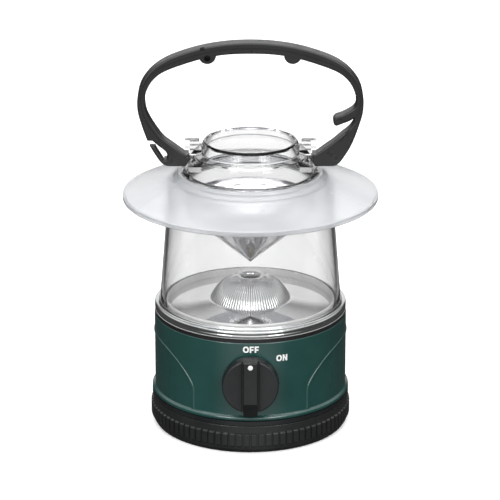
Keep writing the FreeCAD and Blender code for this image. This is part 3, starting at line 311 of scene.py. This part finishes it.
def lettering(name, word, azimuth, z, widths, height, stroke, gap, radius):
    """Raised print wrapped on the shell, centred on an azimuth (degrees from the front) and a height in mm."""
    total = sum(widths) + gap * (len(word) - 1)
    verts, faces = [], []
    x = -total / 2
    for ch, w in zip(word, widths):
        for quad in letter_cells(ch, w, height, stroke):
            base = len(verts)
            for r in (radius - 0.1, radius + 0.06):
                for qx, qy in quad:
                    a = math.radians(azimuth) + (x + qx) / radius
                    verts.append((r * math.sin(a) * MM, -r * math.cos(a) * MM, (z - height / 2 + qy) * MM))
            faces.append([base + 4, base + 5, base + 6, base + 7])
            for i in range(4):
                j = (i + 1) % 4
                faces.append([base + i, base + j, base + 4 + j, base + 4 + i])
        x += w + gap
    ob = mesh_piece(name, verts, faces, white_print, "body", smooth=False)
    bm = bmesh.new()
    bm.from_mesh(ob.data)
    bmesh.ops.remove_doubles(bm, verts=bm.verts, dist=0.000002)
    inner = [f for f in bm.faces if sum(1 for g in bm.faces if g is not f and set(g.verts) == set(f.verts))]
    bmesh.ops.delete(bm, geom=inner, context="FACES_ONLY")
    bmesh.ops.recalc_face_normals(bm, faces=bm.faces)
    bm.to_mesh(ob.data)
    bm.free()
    return ob


lettering("mark_off", "OFF", 0.3, 64.85, (3.5, 2.5, 2.5), 3.9, 0.95, 0.4, 57.4)
lettering("mark_on", "ON", 18.6, 58.7, (3.4, 2.9), 3.9, 0.95, 0.45, 57.4)

# ------------------------------------------------------------------ fluted lens in place of the plain dome
FLUTES = 88
outer = [(24.2, 76.1), (24.0, 76.9), (23.7, 77.9), (23.1, 78.9), (22.4, 79.9), (21.7, 81.0), (20.9, 82.1), (20.1, 83.1),
         (19.2, 84.1), (18.2, 85.2), (17.0, 86.3), (15.7, 87.4), (14.3, 88.3), (12.9, 89.1), (11.6, 89.6), (10.4, 89.9),
         (9.3, 90.2), (8.6, 90.6), (7.8, 90.8), (6.6, 90.8), (5.9, 90.5), (5.4, 90.0), (5.3, 89.2)]
inner = [(5.3, 88.3), (7.0, 88.2), (10.0, 87.9), (12.6, 87.2), (15.2, 85.4), (17.4, 83.0), (19.2, 80.6), (20.6, 78.4),
         (21.8, 76.1)]
per = 6
count = FLUTES * per
verts, faces = [], []
for k, (r, z) in enumerate(outer + inner):
    ridged = 0.34 if 1 <= k <= 14 else 0.0
    fade = min(1.0, r / 17.0)
    for i in range(count):
        a = 2 * math.pi * i / count
        w = abs(math.sin(a * FLUTES / 2))
        rr = r + ridged * fade * (w - 0.6)
        verts.append((rr * math.sin(a) * MM, -rr * math.cos(a) * MM, z * MM))
rows = len(outer) + len(inner)
for k in range(rows):
    n = (k + 1) % rows
    for i in range(count):
        j = (i + 1) % count
        faces.append((k * count + i, k * count + j, n * count + j, n * count + i))
lens = mesh_piece("lens_fluted", verts, faces, lens_clear, "body")
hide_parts("dome_lens")
lens.visible_shadow = False

# ------------------------------------------------------------------ dished reflector in place of the plain plate
def lathe(name, ring, mat, body, seg=160, wave=None):
    """A closed ring of (radius, height) points in mm, turned about the lantern's axis."""
    verts, faces = [], []
    for k, (r, z) in enumerate(ring):
        for i in range(seg):
            a = 2 * math.pi * i / seg
            rr = r + (wave(k, a) if wave else 0.0)
            verts.append((rr * math.sin(a) * MM, -rr * math.cos(a) * MM, z * MM))
    for k in range(len(ring)):
        n = (k + 1) % len(ring)
        for i in range(seg):
            j = (i + 1) % seg
            faces.append((k * seg + i, k * seg + j, n * seg + j, n * seg + i))
    ob = mesh_piece(name, verts, faces, mat, body)
    bm = bmesh.new()
    bm.from_mesh(ob.data)
    bmesh.ops.recalc_face_normals(bm, faces=bm.faces)
    bm.to_mesh(ob.data)
    bm.free()
    return ob


dish = lathe("reflector_dish", [
    (21.0, 76.6), (23.6, 77.0), (24.6, 77.1), (25.4, 77.0), (27.0, 76.8), (30.0, 76.4), (33.0, 76.0), (36.0, 75.58),
    (39.0, 75.15), (42.0, 74.72), (45.0, 74.3), (47.4, 73.96), (48.6, 73.85), (49.0, 73.75), (48.8, 73.4), (47.0, 73.5),
    (42.0, 74.0), (36.0, 74.85), (30.0, 75.7), (25.0, 76.3), (21.0, 75.9)],
    chrome, "body")
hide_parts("base_reflector")
# pale upstand round the dish, finely ribbed on its inner face
lathe("reflector_wall", [(49.0, 73.6), (49.0, 74.2), (49.0, 75.6), (49.0, 77.0), (49.15, 77.6), (49.5, 77.9), (50.0, 77.9),
                         (50.3, 77.6), (50.4, 77.0), (50.4, 73.5), (49.6, 73.45)],
      skirt, "body", 720, lambda k, a: 0.12 * math.cos(a * 180) if 0 < k < 4 else 0.0)

# ------------------------------------------------------------------ globe with an even wall down to its foot
glass = lathe("globe_glass", [
    (54.2, 74.2), (54.1, 75.6), (54.0, 77.0), (53.85, 79.2), (53.6, 82.0), (52.8, 92.0), (51.8, 104.0), (50.6, 119.0),
    (49.4, 134.0), (48.6, 143.6), (48.3, 145.8), (47.7, 147.6), (46.7, 149.1), (45.4, 150.2), (44.0, 150.6), (43.4, 150.65),
    (39.2, 150.65), (38.6, 150.8), (38.4, 151.2), (38.4, 155.6), (38.1, 156.0), (36.5, 156.0), (36.2, 155.6),
    (36.2, 133.0), (35.9, 132.0), (35.0, 131.1), (24.0, 121.9), (12.0, 111.9), (1.0, 102.7), (0.03, 101.9), (0.03, 99.3),
    (0.6, 99.7), (12.0, 109.2), (24.0, 119.3), (37.4, 130.6), (38.1, 131.4), (38.4, 132.4), (38.4, 147.8), (38.8, 148.4),
    (42.6, 148.4), (43.6, 148.2), (45.2, 147.0), (46.0, 145.6), (46.4, 142.6), (47.2, 133.0), (48.4, 118.6), (49.6, 104.2),
    (50.6, 92.2), (51.4, 82.6), (51.6, 79.4), (51.7, 77.0), (51.75, 74.2), (52.2, 73.7), (53.8, 73.7)],
    globe_clear, "body", 240)
glass.visible_shadow = False
ring = lathe("globe_flange", [
    (52.0, 71.32), (56.5, 71.32), (56.95, 71.45), (57.15, 71.8), (57.2, 72.3), (57.2, 73.0), (57.05, 73.2), (57.05, 73.5),
    (57.2, 73.7), (57.2, 74.6), (57.1, 75.1), (56.8, 75.5), (56.3, 75.7), (55.4, 75.75), (54.8, 75.9), (54.45, 76.4),
    (54.3, 77.2), (54.1, 77.2), (54.3, 74.0), (53.9, 73.5), (52.0, 73.5)],
    flange, "body", 240)
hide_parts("globe")

# silver cone, steeper than the funnel that holds it
cone = lathe("silver_cone", [
    (0.02, 102.2), (1.2, 103.5), (4.0, 106.7), (8.0, 111.3), (12.0, 115.9), (16.0, 120.5), (20.0, 125.1), (24.0, 129.7),
    (28.0, 133.9), (32.0, 137.2), (35.6, 140.0), (35.6, 141.0), (34.9, 141.0), (31.4, 138.1), (27.4, 134.7), (23.3, 130.4),
    (19.3, 125.8), (15.3, 121.2), (11.3, 116.6), (7.3, 112.0), (3.3, 107.4), (0.6, 104.4), (0.02, 103.9)],
    silver_cone, "body", 200)
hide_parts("cone_mirror")

# ------------------------------------------------------------------ half-round bead along each arch line
ARCH = [(46.5, 21.6), (46.5, 28.0), (46.5, 35.5), (45.7, 39.5), (42.5, 45.6), (36.9, 51.2), (30.0, 54.7), (21.0, 56.6),
        (10.0, 57.3), (0.0, 57.5)]
line = ARCH + [(-y, z) for y, z in reversed(ARCH[:-1])]


def through(pts, steps):
    """Catmull-Rom points through a list of 2D points."""
    res = []
    for i in range(len(pts) - 1):
        p0, p1, p2, p3 = pts[max(i - 1, 0)], pts[i], pts[i + 1], pts[min(i + 2, len(pts) - 1)]
        for s in range(steps):
            t = s / steps
            res.append(tuple(0.5 * (2 * b + (c - a) * t + (2 * a - 5 * b + 4 * c - d) * t * t
                                    + (3 * b - a - 3 * c + d) * t ** 3) for a, b, c, d in zip(p0, p1, p2, p3)))
    return res + [pts[-1]]


track = through(line, 8)
for tag, side in (("left", -1), ("right", 1)):
    verts, faces = [], []
    pos = [Vector((side * math.sqrt(57.4 ** 2 - y * y), y, z)) for y, z in track]
    arc = 9
    for i, p in enumerate(pos):
        t = (pos[min(i + 1, len(pos) - 1)] - pos[max(i - 1, 0)]).normalized()
        n = Vector((p.x, p.y, 0)).normalized()
        b = n.cross(t).normalized()
        for k in range(arc):
            a = math.pi * k / (arc - 1)
            q = p + b * (0.72 * math.cos(a)) + n * (0.6 * math.sin(a) - 0.08)
            verts.append(q * MM)
    for i in range(len(pos) - 1):
        for k in range(arc):
            j = (k + 1) % arc
            faces.append((i * arc + k, i * arc + j, (i + 1) * arc + j, (i + 1) * arc + k))
    faces.append(tuple(range(arc)))
    faces.append(tuple(reversed(range((len(pos) - 1) * arc, len(pos) * arc))))
    bead = mesh_piece("arch_bead_" + tag, verts, faces, green, "body")
    bm = bmesh.new()
    bm.from_mesh(bead.data)
    bmesh.ops.recalc_face_normals(bm, faces=bm.faces)
    bm.to_mesh(bead.data)
    bm.free()

# ------------------------------------------------------------------ dot on the knob's grip bar
bar_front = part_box("knob")[0].y / MM
verts, faces = [], []
rings = [(1.5, 0.25), (1.5, -0.06), (1.38, -0.13), (0.9, -0.16)]
seg = 40
for r, d in rings:
    for i in range(seg):
        a = 2 * math.pi * i / seg
        verts.append((r * math.cos(a) * MM, (bar_front + d) * MM, (58.6 + r * math.sin(a)) * MM))
for k in range(len(rings) - 1):
    for i in range(seg):
        j = (i + 1) % seg
        faces.append((k * seg + i, k * seg + j, (k + 1) * seg + j, (k + 1) * seg + i))
faces.append(tuple((len(rings) - 1) * seg + i for i in range(seg)))
faces.append(tuple(reversed(range(seg))))
mesh_piece("knob_dot", verts, faces, white_print, "knob")

# ------------------------------------------------------------------ floor, light and camera
floor_mat = Mat("floor")
floor_mat.set(Roughness=0.9, Specular_IOR_Level=0.1, Emission_Color=(1.0, 1.0, 1.0), Emission_Strength=0.3)
floor_mat.colour(floor_mat.noise(3.0, 2.0), [(0.3, (0.9, 0.9, 0.9)), (0.7, (0.92, 0.92, 0.92))])
me = bpy.data.meshes.new("floor")
me.from_pydata([(-6, -6, -0.0002), (6, -6, -0.0002), (6, 6, -0.0002), (-6, 6, -0.0002)], [], [(0, 1, 2, 3)])
me.materials.append(floor_mat.m)
floor = bpy.data.objects.new("floor", me)
bpy.context.scene.collection.objects.link(floor)

floor.visible_glossy = False
floor.visible_diffuse = False
floor.visible_transmission = False

# what the clear pieces look through to: a pale cross on the floor that fades out to grey between its arms
sweep_mat = bpy.data.materials.new("sweep")
sweep_mat.use_nodes = True
st = sweep_mat.node_tree
st.nodes.clear()
so = st.nodes.new("ShaderNodeOutputMaterial")
se = st.nodes.new("ShaderNodeEmission")
sc = st.nodes.new("ShaderNodeTexCoord")
ss = st.nodes.new("ShaderNodeSeparateXYZ")
st.links.new(sc.outputs["Object"], ss.inputs["Vector"])
arms = []
for axis in ("X", "Y"):
    ab = st.nodes.new("ShaderNodeMath")
    ab.operation = "ABSOLUTE"
    st.links.new(ss.outputs[axis], ab.inputs[0])
    mr = st.nodes.new("ShaderNodeMapRange")
    mr.interpolation_type = "SMOOTHSTEP"
    mr.inputs["From Min"].default_value = 0.07
    mr.inputs["From Max"].default_value = 0.2
    mr.inputs["To Min"].default_value = 1.2
    mr.inputs["To Max"].default_value = 0.12
    st.links.new(ab.outputs["Value"], mr.inputs["Value"])
    arms.append(mr.outputs["Result"])
mx = st.nodes.new("ShaderNodeMath")
mx.operation = "MAXIMUM"
st.links.new(arms[0], mx.inputs[0])
st.links.new(arms[1], mx.inputs[1])
st.links.new(mx.outputs["Value"], se.inputs["Strength"])
st.links.new(se.outputs["Emission"], so.inputs["Surface"])
me = bpy.data.meshes.new("sweep")
me.from_pydata([(-6, -6, -0.0001), (6, -6, -0.0001), (6, 6, -0.0001), (-6, 6, -0.0001)], [], [(0, 1, 2, 3)])
me.materials.append(sweep_mat)
sweep = bpy.data.objects.new("sweep", me)
bpy.context.scene.collection.objects.link(sweep)
sweep.visible_camera = False
sweep.visible_glossy = False
sweep.visible_diffuse = False
sweep.visible_shadow = False

# studio: bright overhead and in front, a white sweep behind, dark to both sides and below
world = bpy.data.worlds.new("studio")
bpy.context.scene.world = world
world.use_nodes = True
wt = world.node_tree
bg = next(n for n in wt.nodes if n.type == "BACKGROUND")
wco = wt.nodes.new("ShaderNodeTexCoord")
wsep = wt.nodes.new("ShaderNodeSeparateXYZ")
wt.links.new(wco.outputs["Generated"], wsep.inputs["Vector"])


def smooth(sock, a, b, lo, hi):
    n = wt.nodes.new("ShaderNodeMapRange")
    n.interpolation_type = "SMOOTHSTEP"
    n.inputs["From Min"].default_value = a
    n.inputs["From Max"].default_value = b
    n.inputs["To Min"].default_value = lo
    n.inputs["To Max"].default_value = hi
    wt.links.new(sock, n.inputs["Value"])
    return n.outputs["Result"]


def calc(op, a, b):
    n = wt.nodes.new("ShaderNodeMath")
    n.operation = op
    for i, v in enumerate((a, b)):
        if isinstance(v, float):
            n.inputs[i].default_value = v
        else:
            wt.links.new(v, n.inputs[i])
    return n.outputs["Value"]


top = smooth(wsep.outputs["Z"], 0.3, 0.66, 0.0, 0.92)
above = smooth(wsep.outputs["Z"], -0.05, 0.12, 0.0, 1.0)
front = calc("MULTIPLY", smooth(wsep.outputs["Y"], -0.35, -0.85, 0.0, 0.8), above)
low = calc("MULTIPLY", smooth(wsep.outputs["Y"], -0.62, -0.93, 0.0, 0.5), smooth(wsep.outputs["Z"], -0.8, -0.25, 0.0, 1.0))
back = calc("MULTIPLY", smooth(wsep.outputs["Y"], 0.88, 0.935, 0.0, 0.95), above)
glow = calc("ADD", calc("ADD", calc("ADD", calc("ADD", top, front), back), low), 0.05)
wt.links.new(glow, bg.inputs["Strength"])
bg.inputs["Color"].default_value = (1.0, 1.0, 1.0, 1.0)


def softbox(name, at, to, w, h, watts, tint=(1, 1, 1)):
    li = bpy.data.lights.new(name, "AREA")
    li.shape = "RECTANGLE"
    li.size, li.size_y = w, h
    li.energy = watts
    li.color = tint
    ob = bpy.data.objects.new(name, li)
    bpy.context.scene.collection.objects.link(ob)
    ob.location = at
    ob.rotation_mode = "QUATERNION"
    ob.rotation_quaternion = (Vector(to) - Vector(at)).to_track_quat("-Z", "Y")
    ob.visible_camera = False
    return ob


softbox("top_box", (0.0, 0.1, 1.7), (0, 0, 0), 1.6, 1.6, 18.0)
softbox("left_box", (-0.75, -1.3, 0.85), (0, 0, 0.1), 0.5, 0.9, 7.0)
softbox("right_box", (0.75, -1.3, 0.85), (0, 0, 0.1), 0.5, 0.9, 6.0)

cam = bpy.data.cameras.new("camera")
cam.lens = 193.4
cam.sensor_width = 36.0
cam.shift_x = -0.0008
cam.clip_start, cam.clip_end = 0.05, 30.0
cam_ob = bpy.data.objects.new("camera", cam)
bpy.context.scene.collection.objects.link(cam_ob)
cam_ob.location = (0.0, -1.5118, 0.6301)
cam_ob.rotation_mode = "QUATERNION"
cam_ob.rotation_quaternion = (Vector((0, 0, 0.10625)) - cam_ob.location).to_track_quat("-Z", "Y")
bpy.context.scene.camera = cam_ob

bpy.context.scene.view_settings.view_transform = "Standard"
bpy.context.scene.view_settings.look = "None"
